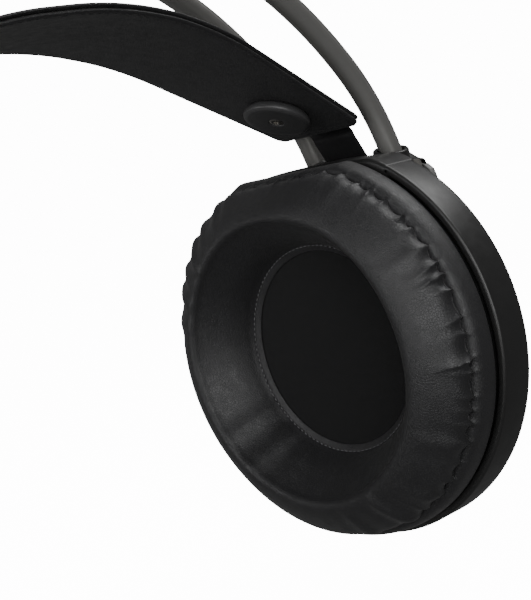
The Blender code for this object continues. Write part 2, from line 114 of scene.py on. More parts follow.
class Nodes:
    """A small helper for building a node material."""

    def __init__(self, name, colour, rough, metal=0.0, specular=0.5):
        self.mat = bpy.data.materials.new(name)
        self.mat.use_nodes = True
        self.tree = self.mat.node_tree
        self.shader = self.tree.nodes["Principled BSDF"]
        self.shader.inputs["Base Color"].default_value = (*colour, 1)
        self.shader.inputs["Roughness"].default_value = rough
        self.shader.inputs["Metallic"].default_value = metal
        self.shader.inputs["Specular IOR Level"].default_value = specular
        self.place = self.add("ShaderNodeTexCoord").outputs["Object"]
        self.height = None

    def add(self, kind, **settings):
        node = self.tree.nodes.new(kind)
        for key, value in settings.items():
            setattr(node, key, value)
        return node

    def link(self, a, b):
        self.tree.links.new(a, b)

    def noise(self, scale, detail=4.0, rough=0.55):
        node = self.add("ShaderNodeTexNoise")
        node.inputs["Scale"].default_value = scale
        node.inputs["Detail"].default_value = detail
        node.inputs["Roughness"].default_value = rough
        self.link(self.place, node.inputs["Vector"])
        return node.outputs["Fac"]

    def cells(self, scale, feature="DISTANCE_TO_EDGE"):
        node = self.add("ShaderNodeTexVoronoi", feature=feature)
        node.inputs["Scale"].default_value = scale
        self.link(self.place, node.inputs["Vector"])
        return node.outputs["Distance"]

    def remap(self, value, low_in, high_in, low_out, high_out):
        node = self.add("ShaderNodeMapRange")
        self.link(value, node.inputs["Value"])
        settings = (("From Min", low_in), ("From Max", high_in), ("To Min", low_out), ("To Max", high_out))
        for key, number in settings:
            node.inputs[key].default_value = number
        return node.outputs["Result"]

    def mix(self, value, dark, light):
        node = self.add("ShaderNodeMix", data_type="RGBA")
        self.link(value, node.inputs["Factor"])
        node.inputs["A"].default_value = (*dark, 1)
        node.inputs["B"].default_value = (*light, 1)
        self.link(node.outputs["Result"], self.shader.inputs["Base Color"])

    def rough(self, value, smooth, coarse):
        self.link(self.remap(value, 0.3, 0.7, smooth, coarse), self.shader.inputs["Roughness"])

    def bump(self, value, depth, strength=1.0):
        node = self.add("ShaderNodeBump")
        node.inputs["Distance"].default_value = depth
        node.inputs["Strength"].default_value = strength
        self.link(value, node.inputs["Height"])
        if self.height is not None:
            self.link(self.height, node.inputs["Normal"])
        self.height = node.outputs["Normal"]
        self.link(self.height, self.shader.inputs["Normal"])


def plastic(name, colour, rough, grain=0.00002, specular=0.5):
    n = Nodes(name, colour, rough, specular=specular)
    tone = n.noise(180.0)
    n.mix(tone, [c * 0.86 for c in colour], [c * 1.12 for c in colour])
    n.rough(n.noise(420.0), rough - 0.05, rough + 0.05)
    n.bump(n.noise(2600.0, 2.0), grain, 0.6)
    return n.mat


def leather(name, colour, rough, pebble=0.00007):
    n = Nodes(name, colour, rough)
    n.mix(n.noise(90.0, 5.0), [c * 0.8 for c in colour], [c * 1.22 for c in colour])
    n.rough(n.noise(300.0, 5.0), rough - 0.07, rough + 0.08)
    n.bump(n.remap(n.cells(1700.0), 0.0, 0.12, 0.0, 1.0), pebble, 0.5)
    n.bump(n.noise(800.0, 5.0, 0.55), 0.00005, 0.4)
    n.shader.inputs["Sheen Weight"].default_value = 0.04
    n.shader.inputs["Sheen Roughness"].default_value = 0.5
    return n.mat


def lacquered(name):
    n = Nodes(name, (0.16, 0.158, 0.15), 0.34, 0.55)
    n.mix(n.noise(120.0), (0.19, 0.188, 0.18), (0.22, 0.217, 0.208))
    n.rough(n.noise(700.0), 0.3, 0.37)
    n.bump(n.noise(3200.0, 2.0), 0.000012, 0.5)
    return n.mat


def metal(name, colour, rough):
    n = Nodes(name, colour, rough, 1.0)
    n.mix(n.noise(400.0), [c * 0.8 for c in colour], colour)
    n.rough(n.noise(900.0), rough - 0.05, rough + 0.1)
    n.bump(n.noise(2200.0, 3.0), 0.00001, 0.5)
    return n.mat


def twill(name):
    """Fine diagonal weave in the plane of the cloth."""
    n = Nodes(name, (0.012, 0.012, 0.013), 0.85, specular=0.3)
    wave = n.add("ShaderNodeTexWave", wave_type="BANDS", bands_direction="DIAGONAL")
    wave.inputs["Scale"].default_value = 1500.0
    wave.inputs["Distortion"].default_value = 0.5
    n.link(n.place, wave.inputs["Vector"])
    n.mix(wave.outputs["Fac"], (0.003, 0.003, 0.0035), (0.011, 0.011, 0.0115))
    n.bump(wave.outputs["Fac"], 0.00006, 0.9)
    n.bump(n.cells(2400.0), 0.00005, 0.6)
    n.shader.inputs["Sheen Weight"].default_value = 0.04
    return n.mat


def sponge(name):
    n = Nodes(name, (0.018, 0.018, 0.018), 0.95, specular=0.2)
    holes = n.remap(n.cells(900.0, "F1"), 0.15, 0.6, 0.0, 1.0)
    n.mix(holes, (0.006, 0.006, 0.006), (0.032, 0.032, 0.032))
    n.bump(holes, 0.0005, 0.9)
    return n.mat


def film(name):
    n = Nodes(name, (0.25, 0.24, 0.22), 0.35)
    n.mix(n.noise(150.0), (0.2, 0.19, 0.17), (0.28, 0.27, 0.25))
    n.bump(n.noise(900.0), 0.00004, 0.5)
    return n.mat


SATIN = plastic("satin_black", (0.014, 0.014, 0.0138), 0.36)
MATTE = plastic("matte_black", (0.011, 0.011, 0.011), 0.55, 0.00004)
GREY = plastic("satin_grey", (0.13, 0.13, 0.126), 0.45)
DISC = plastic("disc_grey", (0.045, 0.045, 0.046), 0.4)
STRIP = plastic("strip_black", (0.012, 0.012, 0.0125), 0.34, 0.00005)
LACQUER = lacquered("gunmetal_lacquer")
STEEL = metal("bright_steel", (0.62, 0.6, 0.56), 0.28)
MAGNET = metal("plated_magnet", (0.4, 0.4, 0.4), 0.4)
PAD_LEATHER = leather("pad_leatherette", (0.015, 0.015, 0.016), 0.43)
STRAP_LEATHER = leather("strap_leatherette", (0.011, 0.011, 0.012), 0.52, 0.00012)
TWILL = twill("scrim_twill")
FOAM = sponge("windscreen_foam")
FILM = film("diaphragm_film")
THREAD = plastic("grey_thread", (0.11, 0.11, 0.115), 0.7)
BLACK_THREAD = plastic("black_thread", (0.03, 0.03, 0.032), 0.7)

CAD_LOOKS = {
    "back_shell": SATIN, "accent_plate": GREY, "outer_cap": SATIN, "baffle": MATTE, "cushion_plate": MATTE,
    "driver_frame": MATTE, "magnet": MAGNET, "diaphragm": FILM, "screw": STEEL, "tilt_pin": STEEL,
    "clamp_washer": STEEL, "mic_capsule": MATTE, "mic_hub": SATIN, "cable_socket": MATTE,
}
for node_name, node in frame["nodes"].items():
    for key, look in CAD_LOOKS.items():
        if key in node_name and "screen" not in node_name:
            node.data.materials.clear()
            node.data.materials.append(look)
            node.data.shade_smooth()
            node.data.set_sharp_from_angle(angle=math.radians(35))


# ---------------------------------------------------------------- mesh helpers

def world(point, sign=1):
    """Cup coordinates in millimetres to the row frame in metres."""
    x, y, z = point
    return Vector((sign * (CUP_X + x) * MM, y * MM, (z - CUP_Z) * MM))


def piece(name, bm, mat, body, replaced=(), sharp=40.0):
    bmesh.ops.recalc_face_normals(bm, faces=bm.faces)
    mesh = bpy.data.meshes.new(name)
    bm.to_mesh(mesh)
    bm.free()
    mesh.materials.append(mat)
    mesh.shade_smooth()
    mesh.set_sharp_from_angle(angle=math.radians(sharp))
    obj = bpy.data.objects.new(name, mesh)
    bpy.context.scene.collection.objects.link(obj)
    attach(obj, body)
    if replaced:
        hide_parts(*replaced)
    return obj


def skin(rows, wrap_rows=False, wrap_points=True, caps=False):
    """Faces between rows of points."""
    bm = bmesh.new()
    grid = [[bm.verts.new(p) for p in row] for row in rows]
    count = len(grid)
    width = len(grid[0])
    for i in range(count if wrap_rows else count - 1):
        a, b = grid[i], grid[(i + 1) % count]
        for j in range(width if wrap_points else width - 1):
            k = (j + 1) % width
            bm.faces.new((a[j], a[k], b[k], b[j]))
    if caps:
        bm.faces.new(grid[0])
        bm.faces.new(grid[-1])
    return bm


def rounded(outline, radius, steps=4, closed=True):
    """Round the corners of an outline; radius is a number or one for each corner."""
    out = []
    n = len(outline)
    for k, point in enumerate(outline):
        r = radius[k] if isinstance(radius, (list, tuple)) else radius
        p = Vector(point)
        if r <= 0 or (not closed and k in (0, n - 1)):
            out.append(p)
            continue
        a = (Vector(outline[k - 1]) - p)
        b = (Vector(outline[(k + 1) % n]) - p)
        reach = min(r, a.length * 0.48, b.length * 0.48)
        a, b = p + a.normalized() * reach, p + b.normalized() * reach
        for i in range(steps + 1):
            t = i / steps
            out.append(a * (1 - t) ** 2 + p * 2 * t * (1 - t) + b * t ** 2)
    return out


def spline(points, steps, closed=False):
    """Catmull-Rom points through a list of tuples."""
    pts = [Vector(p) for p in points]
    n = len(pts)
    out = []
    for k in range(n if closed else n - 1):
        if closed:
            p0, p1, p2, p3 = pts[k - 1], pts[k], pts[(k + 1) % n], pts[(k + 2) % n]
        else:
            p0, p1, p2, p3 = pts[max(k - 1, 0)], pts[k], pts[k + 1], pts[min(k + 2, n - 1)]
        for j in range(steps):
            t = j / steps
            out.append(0.5 * ((2 * p1) + (p2 - p0) * t + (2 * p0 - 5 * p1 + 4 * p2 - p3) * t * t +
                              (3 * p1 - p0 - 3 * p2 + p3) * t ** 3))
    if not closed:
        out.append(pts[-1])
    return out


def step(a, b, x):
    t = min(1.0, max(0.0, (x - a) / (b - a)))
    return t * t * (3 - 2 * t)


def hump(x, centre, width):
    return math.exp(-((x - centre) / width) ** 2)


def turned(outline, sign, count=160, start=0.0, end=360.0, matrix=None):
    """Turn (x, r) points about the cup axis; the angle runs from the top toward the rear."""
    full = abs(end - start) > 359.9
    rows = []
    for k in range(count if full else count + 1):
        a = math.radians(start + (end - start) * k / count)
        row = []
        for x, r in outline:
            p = Vector((x, -r * math.sin(a), r * math.cos(a)))
            row.append(world(matrix @ p if matrix else p, sign))
        rows.append(row)
    return skin(rows, wrap_rows=full, caps=not full)


# ---------------------------------------------------------------- cup housing

def ring(side, sign):
    corners = [(0.0, 50.1), (0.0, RING_R), (RING_DEPTH, RING_R), (RING_DEPTH, RING_BORE), (0.9, RING_BORE)]
    outline = rounded(corners, [0.3, 1.1, 1.3, 0.2, 0.3], 6)
    bm = turned(outline, sign, 240, SEAM_DEG + 0.13, 360 - SEAM_DEG - 0.13)
    piece(side + "_ring_skin", bm, SATIN, side + "_cup", [side + "_housing_ring"])


def saddle(x, y):
    """Height of the bridge's top: flat in the middle, meeting the ring's circle at its seams."""
    y = abs(y)
    circle = math.sqrt(RING_R ** 2 - y ** 2)
    flat = BRIDGE_TOP - 0.0009 * y ** 2.4
    edge = RING_R * math.sin(math.radians(SEAM_DEG))
    z = flat + (circle - flat) * step(edge - 11.0, edge, y)
    z -= 1.0 * step(RING_DEPTH, 17.0, x)
    z -= 2.4 * step(RING_DEPTH, RING_DEPTH + 3.0, x) * step(12.5, BRIDGE_WAIST, y)
    rho = math.hypot(x - RIM[0], y - TUBE_Y)
    rise = RIM[1] - 0.25 - z
    z += rise * math.exp(-(max(0.0, rho - 4.3) / 2.1) ** 1.3) * (1.0 - step(12.5, 15.5, y))
    return z


def bridge(side, sign):
    seam = math.radians(SEAM_DEG)
    edge = RING_R * math.sin(seam)
    nx, ny = 120, 240
    bm = bmesh.new()
    grid = []
    for i in range(nx + 1):
        row = []
        x = BRIDGE_END * i / nx
        front = max(0.0, FRONT_ROUND - x)
        drop = FRONT_ROUND - math.sqrt(max(0.0, FRONT_ROUND ** 2 - front ** 2))
        back = max(0.0, x - (BRIDGE_END - BACK_ROUND))
        drop += BACK_ROUND - math.sqrt(max(0.0, BACK_ROUND ** 2 - back ** 2))
        waist = edge - (edge - BRIDGE_WAIST) * step(RING_DEPTH, RING_DEPTH + 2.0, x)
        for j in range(ny + 1):
            y = -waist + 2 * waist * j / ny
            z = saddle(x, y) - drop
            lip = min(0.0, waist - abs(y) - 0.12)
            row.append((x, y, z + lip))
        grid.append(row)
    top = [[bm.verts.new(world(p, sign)) for p in row] for row in grid]
    base = []
    for i in range(nx + 1):
        row = []
        for j in range(ny + 1):
            x, y, z = grid[i][j]
            under = math.sqrt(max(RING_BORE ** 2 - y ** 2, 0.0))
            row.append(bm.verts.new(world((x, y, min(UNDERSIDE, under, z - 0.4)), sign)))
        base.append(row)

    def open_at(i, j):
        x, y, _ = grid[i][j]
        in_well = WELL[0] < x < WELL[1] and abs(y) < WELL[2]
        lean = math.tan(math.radians(LEAN_DEG))
        in_hole = math.hypot(x - RIM[0] - 0.4 * lean, abs(y) - TUBE_Y) < 4.1
        return in_well or in_hole

    solid = [[not any(open_at(i + di, j + dj) for di in (0, 1) for dj in (0, 1))
              for j in range(ny)] for i in range(nx)]
    for i in range(nx):
        for j in range(ny):
            if not solid[i][j]:
                continue
            bm.faces.new((top[i][j], top[i + 1][j], top[i + 1][j + 1], top[i][j + 1]))
            bm.faces.new((base[i][j], base[i][j + 1], base[i + 1][j + 1], base[i + 1][j]))
            for di, dj, a, b in ((-1, 0, (0, 0), (0, 1)), (1, 0, (1, 0), (1, 1)),
                                 (0, -1, (0, 0), (1, 0)), (0, 1, (0, 1), (1, 1))):
                ni, nj = i + di, j + dj
                if 0 <= ni < nx and 0 <= nj < ny and solid[ni][nj]:
                    continue
                p, q = (i + a[0], j + a[1]), (i + b[0], j + b[1])
                bm.faces.new((top[p[0]][p[1]], top[q[0]][q[1]], base[q[0]][q[1]], base[p[0]][p[1]]))
    loose = [v for v in bm.verts if not v.link_faces]
    bmesh.ops.delete(bm, geom=loose, context="VERTS")
    piece(side + "_bridge_skin", bm, SATIN, side + "_cup", [side + "_bridge"], 50.0)
    for label, way in (("rear", -1), ("front", 1)):
        collar(side, sign, label, way)


def collar(side, sign, label, way):
    """Flared lip round the tube, standing square to the ring's curve."""
    centre = Vector((RIM[0], way * TUBE_Y, RIM[1]))
    axis = Vector((-0.10, way * 0.232, 0.968)).normalized()
    turn = axis.to_track_quat("Z", "Y").to_matrix()
    lip = [(3.6, 0.25), (3.8, 0.6), (4.2, 0.72), (4.55, 0.62), (4.78, 0.25), (4.84, -0.4), (4.86, -1.4),
           (4.88, -2.4), (4.7, -3.3), (4.2, -3.6), (3.8, -3.3), (3.6, -1.0)]
    shape = spline(lip, 4, closed=True)
    rows = []
    for k in range(96):
        a = 2 * math.pi * k / 96
        spots = [Vector((r * math.cos(a), r * math.sin(a), h)) for r, h in shape]
        rows.append([world(centre + turn @ spot, sign) for spot in spots])
    bm = skin(rows, wrap_rows=True)
    piece(side + "_collar_" + label, bm, SATIN, side + "_cup", ())


# ---------------------------------------------------------------- bow

def bow_path():
    lean, bend = math.radians(LEAN_DEG), math.radians(BEND_DEG)
    x0 = CUP_X + COLLAR_X
    points = [(x0 + math.tan(lean) * (COLLAR_Z - z), z) for z in (TUBE_END, TUBE_END + 4)]
    for k in range(17):
        a = lean + (bend - lean) * k / 16
        points.append((x0 - BEND_R * (math.cos(lean) - math.cos(a)),
                       COLLAR_Z + BEND_R * (math.sin(a) - math.sin(lean))))
    x1, z1 = points[-1]
    wide = x1 / math.cos(bend)
    for k in range(1, 33):
        a = bend + (math.pi / 2 - bend) * k / 32
        x = x1 - wide * (math.cos(bend) - math.cos(a))
        z = z1 + wide * (math.sin(a) - math.sin(bend))
        points.append((x, z))
    return points + [(-x, z) for x, z in reversed(points[:-1])]


def bow():
    path = bow_path()
    for name, y0 in (("front_tube", TUBE_Y), ("rear_tube", -TUBE_Y)):
        rows = []
        for k, (x, z) in enumerate(path):
            a, b = path[max(k - 1, 0)], path[min(k + 1, len(path) - 1)]
            t = Vector((b[0] - a[0], 0, b[1] - a[1])).normalized()
            n = Vector((-t.z, 0, t.x))
            ring_row = []
            for i in range(40):
                q = 2 * math.pi * i / 40
                p = Vector((x, y0, z - CUP_Z)) + TUBE_R * (n * math.sin(q) + Vector((0, 1, 0)) * math.cos(q))
                ring_row.append(p * MM)
            rows.append(ring_row)
        piece(name + "_skin", skin(rows, caps=True), LACQUER, "bow", [name])


# ---------------------------------------------------------------- strap

def strap_path(dense):
    rise = math.radians(STRAP_RISE_DEG)
    x, z = CUP_X + STRAP_END[0], STRAP_END[1]
    points = []
    for k in range(dense):
        s = STRAP_STRAIGHT * (k / dense) ** 1.35
        points.append((x - s * math.cos(rise), z + s * math.sin(rise)))
    x1, z1 = x - STRAP_STRAIGHT * math.cos(rise), z + STRAP_STRAIGHT * math.sin(rise)
    radius = (x1 - STRAP_FLAT) / math.sin(rise)
    for k in range(0, dense + 1):
        a = rise * (1 - k / dense)
        px = x1 - radius * (math.sin(rise) - math.sin(a))
        pz = z1 + radius * (math.cos(a) - math.cos(rise))
        points.append((px, pz))
    return points + [(-px, pz) for px, pz in reversed(points)]


def strap_half(s):
    corner = 2.6
    half = min(14.7 + 0.11 * s, 22.0)
    half -= 0.6 * hump(s, 66, 14)
    if s < corner:
        half -= corner - math.sqrt(max(0.0, corner ** 2 - (corner - s) ** 2))
    return half


def strap_layer(name, low_h, high_h, puff, node):
    """One leather layer: rounded edges, a sewn margin and a slight crown."""
    path = strap_path(60)
    length = [0.0]
    for a, b in zip(path, path[1:]):
        length.append(length[-1] + math.hypot(b[0] - a[0], b[1] - a[1]))
    total = length[-1]
    rows = []
    across = 56
    for k, (x, z) in enumerate(path):
        a, b = path[max(k - 1, 0)], path[min(k + 1, len(path) - 1)]
        t = Vector((b[0] - a[0], b[1] - a[1])).normalized()
        n = Vector((t.y, -t.x))
        s = min(length[k], total - length[k])
        w = max(strap_half(s), 1.0)
        row = []
        for face in (0, 1):
            for j in range(across + 1):
                u = -1 + 2 * j / across
                if face:
                    u = -u
                y = u * w
                margin = min(w - abs(y), s + 0.15)
                edge = 0.45 * (1 - math.sqrt(max(0.0, 1 - (1 - min(margin / 0.45, 1.0)) ** 2)))
                crown = step(1.6, 7.0, margin)
                seam = 0.13 * hump(margin, 1.5, 0.28)
                ripple = 0.05 * math.sin(s * 0.9 + 3 * u) * step(3.0, 8.0, margin)
                if face == 0:
                    h = low_h + edge + seam - puff * crown
                else:
                    h = high_h - edge - seam + puff * crown + ripple * 0.5
                row.append(Vector((x + n.x * h, y, z - CUP_Z + n.y * h)) * MM)
        rows.append(row)
    bm = skin(rows, caps=True)
    return piece(name, bm, STRAP_LEATHER, "headband", [node], 60.0)


def stitch_line(name, points, normals, length, radius, mat, body):
    """Separate thread loops laid along points, each a small rounded bar."""
    bm = bmesh.new()
    for p, q, n in zip(points, points[1:], normals):
        mid = (p + q) / 2
        t = (q - p).normalized()
        b = t.cross(n).normalized()
        n = b.cross(t)
        turn = Matrix((t, b, n)).transposed().to_4x4()
        size = Matrix.Diagonal((length / 2, radius, radius, 1))
        place = Matrix.Translation(mid) @ turn @ size
        bmesh.ops.create_icosphere(bm, subdivisions=2, radius=1.0, matrix=place)
    return piece(name, bm, mat, body, (), 80.0)


def strap_stitches():
    path = strap_path(220)
    for label, way in (("front", 1), ("rear", -1)):
        points, normals = [], []
        length = [0.0]
        for a, b in zip(path, path[1:]):
            length.append(length[-1] + math.hypot(b[0] - a[0], b[1] - a[1]))
        total = length[-1]
        target = 5.5
        for k, (x, z) in enumerate(path):
            s = length[k]
            if s < target or s > total - 5.5:
                continue
            target = s + 2.0
            a, b = path[max(k - 1, 0)], path[min(k + 1, len(path) - 1)]
            t = Vector((b[0] - a[0], 0, b[1] - a[1])).normalized()
            n = Vector((t.z, 0, -t.x))
            y = way * (strap_half(min(s, total - s)) - 1.5)
            h = 0.1
            points.append(Vector((x + n.x * h, y, z - CUP_Z + n.z * h)) * MM)
            normals.append(-n)
        stitch_line("strap_stitches_" + label, points, normals, 1.3 * MM, 0.12 * MM, BLACK_THREAD, "headband")


def on_strap(s, h):
    rise = math.radians(STRAP_RISE_DEG)
    return Vector((STRAP_END[0] - s * math.cos(rise) + h * math.sin(rise), 0,
                   STRAP_END[1] + s * math.sin(rise) + h * math.cos(rise)))


def strip(side, sign):
    mid = STRAP_T + 0.3 + STRIP_T / 2
    lean = math.radians(STRIP_LEAN_DEG)
    knots = [on_strap(s, mid) for s in (24.0, 18.0, 12.0, 7.0, 3.0)]
    foot = Vector((STRIP_FOOT[0], 0, STRIP_FOOT[1]))
    along = Vector((-math.sin(lean), 0, math.cos(lean)))
    knots += [foot + along * up for up in (8.6, 6.0, 2.5, -3.0, -7.5, -12.2)]
    path = spline(knots, 8)
    rows = []
    section = rounded([(-STRIP_W, -0.35), (STRIP_W, -0.35), (STRIP_W, 0.35), (-STRIP_W, 0.35)], 0.16, 3)
    for k, p in enumerate(path):
        t = (path[min(k + 1, len(path) - 1)] - path[max(k - 1, 0)]).normalized()
        n = Vector((-t.z, 0, t.x))
        row = []
        for y, h in section:
            taper = 1.0 - 0.12 * step(9.0, 0.0, k)
            row.append(world(p + n * h + Vector((0, y * taper, 0)), sign))
        rows.append(row)
    piece(side + "_strip_skin", skin(rows, caps=True), STRIP, "headband", [side + "_strip"])


def disc(side, sign):
    """Round cap under the strap, with a satin face and a bevelled rim."""
    rise = math.radians(STRAP_RISE_DEG)
    base = on_strap(DISC_S, 0.0)
    upright = Matrix.Rotation(math.radians(90), 4, "Y")
    place = Matrix.Translation(base) @ Matrix.Rotation(rise, 4, "Y") @ upright
    outline = [(0.3, 1.3), (0.3, 7.6), (0.9, 8.3), (1.7, DISC_R), (2.3, DISC_R), (2.62, 8.55), (2.95, 8.0),
               (3.08, 7.55), (3.1, 7.2), (3.1, 2.1), (2.95, 1.92), (2.2, 1.85), (2.2, 1.3)]
    shape = rounded(outline, [0.1, 0.3, 0.4, 0.4, 0.25, 0.3, 0.3, 0.2, 0.1, 0.1, 0.1, 0.05, 0.05], 4)
    bm = turned(shape, sign, 96, matrix=place)
    piece(side + "_disc_skin", bm, DISC, "headband", [side + "_strap_disc"])
    screw_head(side, sign, place)


def screw_head(side, sign, place):
    """Countersunk head with a six-lobed recess."""
    rows = []
    count = 96
    for r_of, h in ((lambda a: 0.9, 0.6), (lambda a: 1.7, 2.4), (lambda a: 1.78, 2.95), (lambda a: 1.6, 3.06),
                    (lambda a: 1.15, 3.1), (lambda a: 0.82 + 0.13 * math.cos(6 * a), 3.08),
                    (lambda a: 0.78 + 0.13 * math.cos(6 * a), 2.55), (lambda a: 0.1, 2.45)):
        row = []
        for k in range(count):
            a = 2 * math.pi * k / count
            r = r_of(a)
            row.append(world(place @ Vector((h, r * math.sin(a), r * math.cos(a))), sign))
        rows.append(row)
    bm = skin(rows, caps=True)
    piece(side + "_screw_head", bm, STEEL, "headband", [side + "_disc_screw"])


# ---------------------------------------------------------------- cushion

SECTION = [
    (-0.9, 34.0), (-0.9, 42.0), (-0.8, 48.6), (-1.15, 49.9), (-2.2, 50.5), (-4.4, 50.6), (-6.5, 50.2),
    (-7.8, 49.2), (-8.3, 47.7), (-8.7, 48.2), (-9.6, 48.8), (-11.2, 48.7), (-13.3, 47.4),
    (-15.6, 45.1), (-17.7, 42.6), (-19.1, 40.2), (-19.7, 38.2), (-19.2, 36.9), (-17.6, 35.9),
    (-14.6, 33.6), (-11.0, 31.0), (-7.8, 29.3), (-5.8, 28.5), (-4.7, 27.95), (-4.4, 28.0),
    (-4.3, 28.7), (-4.3, 29.8), (-2.4, 32.0),
]
CREASE = 8              # index in SECTION of the bottom of the crease
INNER_SEAM = 23         # index of the stitched inner edge
STEPS = 5
ROUND = 768             # points round the pad
PAD_R = 50.6
PAD_FLAT = 47.1         # height of the pad's pressed top over the cup's axis
PAD_SOFT_R = 36.0       # the pressing fades out by this radius


def strength(clock):
    """The puckers are deep over the top and rear of the pad and faint elsewhere."""
    gap = abs((clock - 60 + 180) % 360 - 180)
    return 0.14 + 0.86 * step(100, 64, gap)


def gathers(seed):
    """Angles, depths and lengths of the pinches along the outer seam."""
    rng = random.Random(seed)
    angle = 0.0
    out = []
    while angle < 356.5:
        depth = rng.uniform(0.75, 1.25) * strength(angle)
        reach = rng.uniform(2.6, 4.2) + 1.8 * (rng.random() < 0.15)
        out.append((angle, depth, reach, rng.uniform(-0.25, 0.25)))
        angle += 5.5 * rng.uniform(0.68, 1.4)
    return out


FOLDS = [               # clock angle, half width, depth, where across the pad it starts and ends
    (288, 2.6, 0.45, 0.12, 0.5), (298, 2.2, 0.6, 0.1, 0.5), (307, 1.9, 0.6, 0.06, 0.45),
    (315, 1.7, 0.7, 0.04, 0.5), (324, 2.0, 0.6, 0.04, 0.42), (333, 1.8, 0.5, 0.0, 0.4),
    (207, 4.6, 0.25, 0.6, 1.0), (222, 5.0, 0.45, 0.5, 1.0), (238, 4.4, 0.3, 0.6, 1.0),
    (142, 2.2, 0.45, 0.0, 0.4), (155, 2.4, 0.8, 0.04, 0.5), (170, 2.4, 0.4, 0.05, 0.45),
    (28, 2.2, 0.35, 0.0, 0.35), (62, 2.0, 0.3, 0.0, 0.35), (95, 2.4, 0.35, 0.0, 0.3),
    (120, 2.6, 0.45, 0.0, 0.4),
]


def between(puckers, clock, away):
    """The pinches on either side of a clock angle, followed along their slant."""
    count = len(puckers)
    for k in range(count):
        left, right = puckers[k - 1], puckers[k]
        start = left[0] + left[3] * away
        end = right[0] + right[3] * away
        if (clock - start) % 360 < (end - start) % 360:
            return (start, *left[1:]), (end, *right[1:])
    return puckers[0], puckers[1]


def flat_scale(r, a):
    """The pad is pressed flat along its top, under the bridge."""
    up = math.cos(a)
    if up <= 0 or r < PAD_SOFT_R:
        return r
    scale = min(1.0, PAD_FLAT / (up * PAD_R))
    return PAD_SOFT_R + (r - PAD_SOFT_R) * (PAD_R * scale - PAD_SOFT_R) / (PAD_R - PAD_SOFT_R)


def cushion(side, sign):
    shape = spline(SECTION, STEPS, closed=True)
    n = len(shape)
    rng = random.Random(11 if sign > 0 else 23)
    puckers = gathers(5 if sign > 0 else 9)
    crease = CREASE * STEPS
    travelled = [0.0]
    for k in range(1, n):
        travelled.append(travelled[-1] + (shape[k] - shape[k - 1]).length)
    inner = INNER_SEAM * STEPS
    waves = [(rng.uniform(0, 6.28), rng.randint(2, 8), rng.uniform(0.3, 1.0)) for _ in range(9)]
    rows = []
    for k in range(ROUND):
        clock = 360.0 * k / ROUND
        a = math.radians(clock)
        near = []
        for angle, depth, length, slant in puckers:
            gap = (clock - angle + 180) % 360 - 180
            if abs(gap) < 9:
                near.append((gap, depth, length, slant))
        wobble = sum(w * math.sin(m * a + p) for p, m, w in waves) / 9
        row = []
        for i in range(n):
            x, r = shape[i]
            p, q = shape[i - 1], shape[(i + 1) % n]
            t = (q - p).normalized()
            nx, nr = -t.y, t.x
            away = travelled[i] - travelled[crease]
            push = 0.0
            if away >= 0 and i <= inner:
                left, right = between(puckers, clock, away)
                span = (right[0] - left[0]) % 360
                u = min(1.0, max(0.0, ((clock - left[0] + 180) % 360 - 180) / span))
                valley = 1.0 - (4.0 * u * (1.0 - u)) ** 0.7
                for part, (_, depth, reach, _) in ((1.0 - u, left), (u, right)):
                    push -= 1.6 * depth * part * valley * math.exp(-(away / reach) ** 2)
                push += 0.5 * math.exp(-((away - 2.2) / 2.0) ** 2)
            elif -7.5 < away < 0:
                for gap, depth, _, _ in near:
                    width = 0.6 + 0.09 * -away
                    push -= 0.34 * depth * math.exp(-(gap / width) ** 2) * math.exp(-(away / 2.4) ** 2)
            if crease < i <= inner:
                across = (i - crease) / (inner - crease)
                for centre, half, depth, begin, end in FOLDS:
                    gap = (clock - centre + 180) % 360 - 180
                    if abs(gap) > half * 3.2:
                        continue
                    bend = gap + 5.0 * (across - 0.5) * math.sin(centre)
                    rising = step(begin - 0.18, begin + 0.12, across)
                    along = rising * (1 - step(end - 0.15, end + 0.15, across))
                    push -= depth * math.exp(-(bend / half) ** 2) * along
                    push += 0.25 * depth * math.exp(-((abs(bend) - 1.9 * half) / half) ** 2) * along
                push += 0.3 * wobble * math.sin(math.pi * across)
            x2 = x + nx * push
            r2 = flat_scale(r + nr * push, a)
            row.append(world((x2, -r2 * math.sin(a), r2 * math.cos(a)), sign))
        rows.append(row)
    bm = skin(rows, wrap_rows=True)
    pad = piece(side + "_cushion_skin", bm, PAD_LEATHER, side + "_cup", [side + "_cushion"],
                75.0)
    stitches(side, sign)


SEAM_X = -4.72          # the inner seam's place and stitch count
SEAM_R = 27.75
SEAM_COUNT = 118


def stitches(side, sign):
    """Fine thread round the inner seam, and a leather flange behind it."""
    points, normals = [], []
    rng = random.Random(3)
    for k in range(SEAM_COUNT + 1):
        a = 2 * math.pi * k / SEAM_COUNT
        r = SEAM_R + rng.uniform(-0.05, 0.05)
        on_seam = world((SEAM_X, -r * math.sin(a), r * math.cos(a)), sign)
        above = world((SEAM_X - 1.0, -(r - 0.6) * math.sin(a), (r - 0.6) * math.cos(a)), sign)
        points.append(on_seam)
        normals.append((above - on_seam).normalized())
    stitch_line(side + "_seam_stitches", points, normals, 0.95 * MM, 0.17 * MM, THREAD, side + "_cup")
    flange = spline([(-4.5, 27.9), (-4.2, 27.1), (-3.85, 26.4), (-3.7, 26.2), (-3.55, 26.5), (-3.7, 27.3),
                     (-3.95, 28.4)], 4, closed=True)
    bm = turned(flange, sign, 220)
    piece(side + "_flange", bm, PAD_LEATHER, side + "_cup", ())


def scrim(side, sign):
    outline = rounded([(-3.3, 0.01), (-3.45, 12.0), (-3.4, 24.0), (-3.3, 28.0), (-0.4, 30.6), (0.65, 30.6),
                       (0.65, 30.1), (-0.2, 30.1), (-2.9, 27.7), (-2.9, 0.01)],
                      [0, 2, 2, 0.6, 0.3, 0.1, 0.1, 0.3, 0.6, 0], 4)
    bm = turned(outline, sign, 128)
    bmesh.ops.remove_doubles(bm, verts=bm.verts, dist=0.00003)
    piece(side + "_scrim_skin", bm, TWILL, side + "_cup", [side + "_scrim"])


